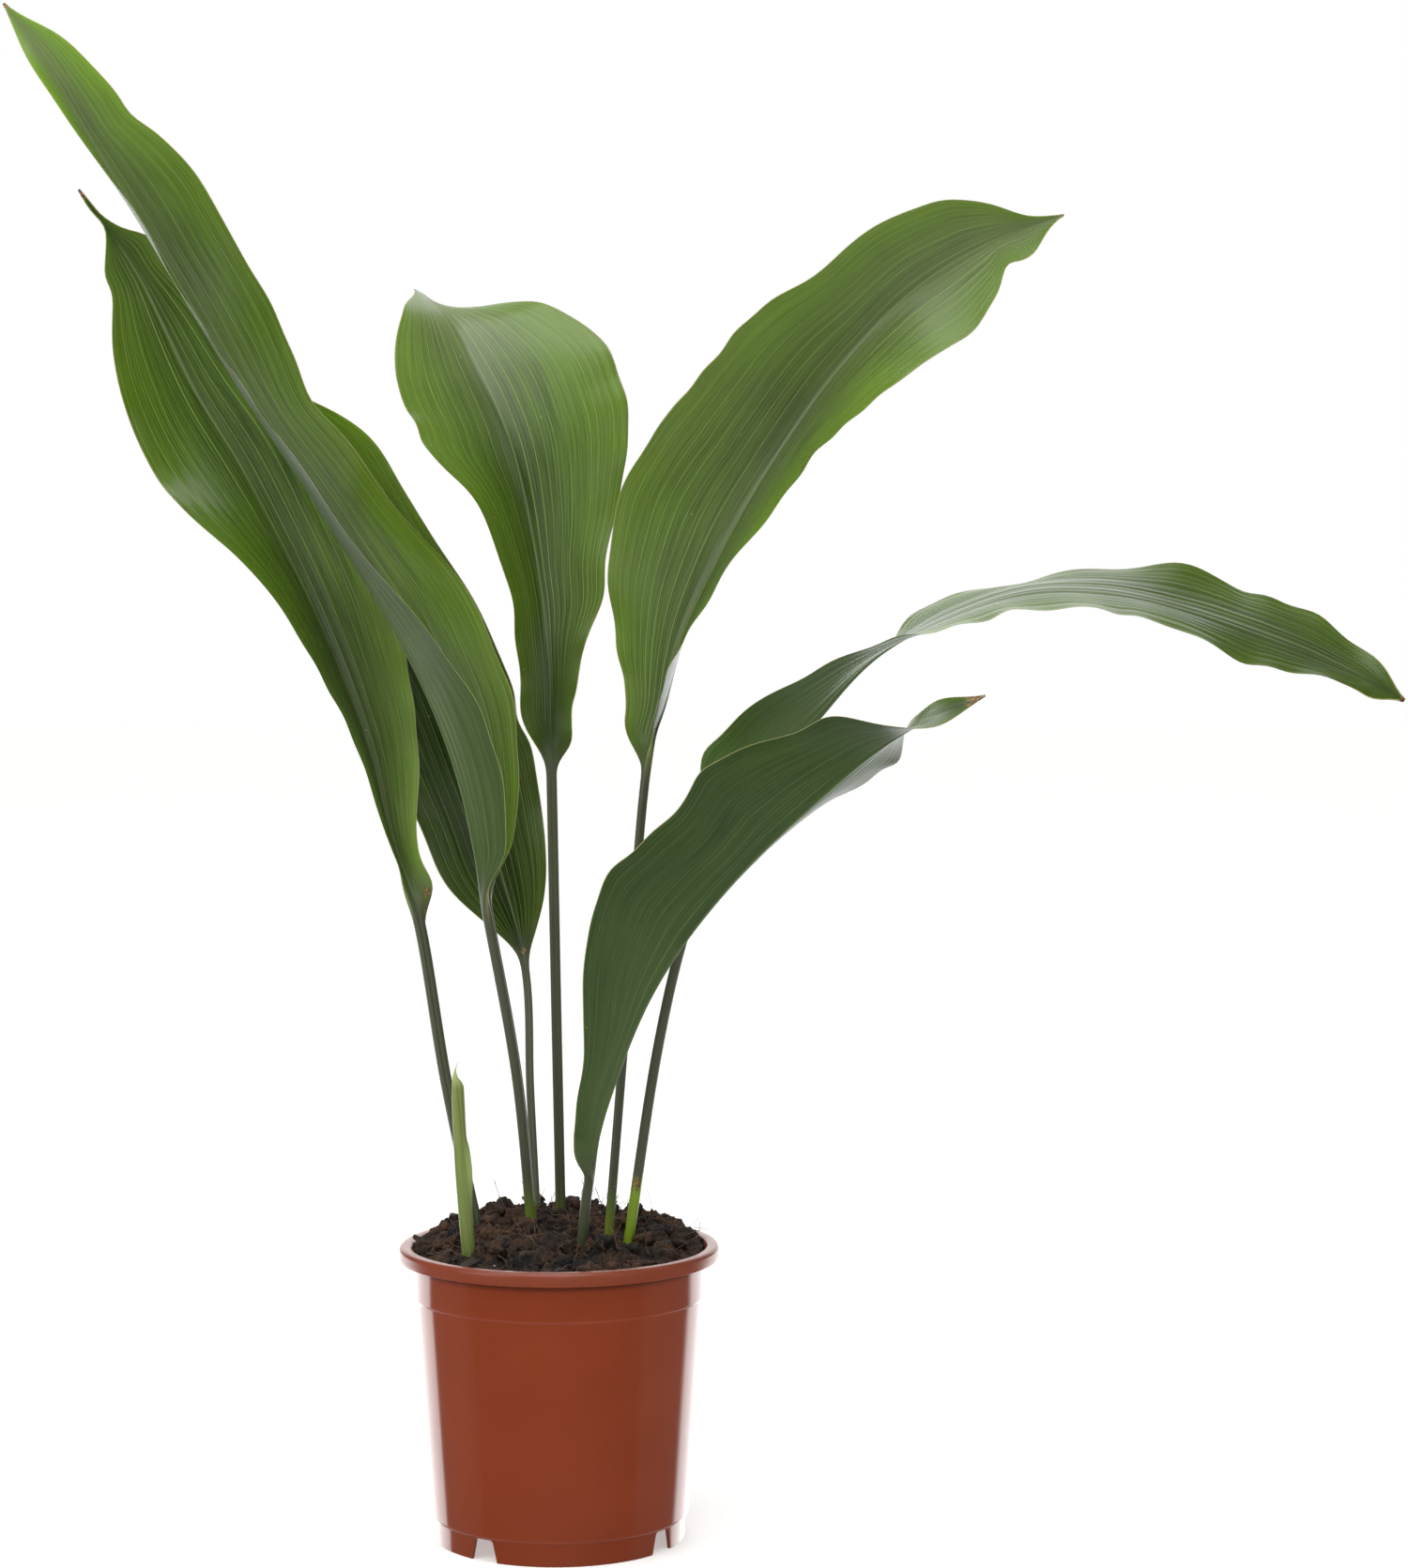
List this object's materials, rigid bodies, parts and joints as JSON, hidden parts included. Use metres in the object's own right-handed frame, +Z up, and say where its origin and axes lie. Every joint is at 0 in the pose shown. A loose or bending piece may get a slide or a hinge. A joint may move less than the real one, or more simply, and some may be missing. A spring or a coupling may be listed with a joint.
{
  "type": "potted cast iron plant",
  "caption": "Potted foliage plant with long upright and arching lance-shaped leaves on thin stalks, a rolled young shoot, and a tapered plastic grower's pot full of soil.",
  "frame": {"origin": "on the surface the pot stands on, under the middle of the plant's spread; the pot's axis is at x = -0.0877, y = 0.0143", "axes": "+Z up along the pot's axis; the plant's front faces -Y, and its widest spread runs along X"},
  "size_m": [0.725, 0.2418, 0.7953],
  "materials": {
    "terracotta_plastic": "satin",
    "peat_soil": "matte",
    "rhizome_flesh": "matte",
    "leaf_green": "satin",
    "young_shoot": "satin"
  },
  "bodies": {
    "root": {"pot": "terracotta_plastic", "soil": "peat_soil", "rhizome": "rhizome_flesh", "leaf_tall_left": "leaf_green", "leaf_broad_left": "leaf_green", "leaf_centre": "leaf_green", "leaf_inner_left": "leaf_green", "leaf_tall_right": "leaf_green", "leaf_low_right": "leaf_green", "leaf_arching_right": "leaf_green", "shoot": "young_shoot"}
  },
  "joints": []
}
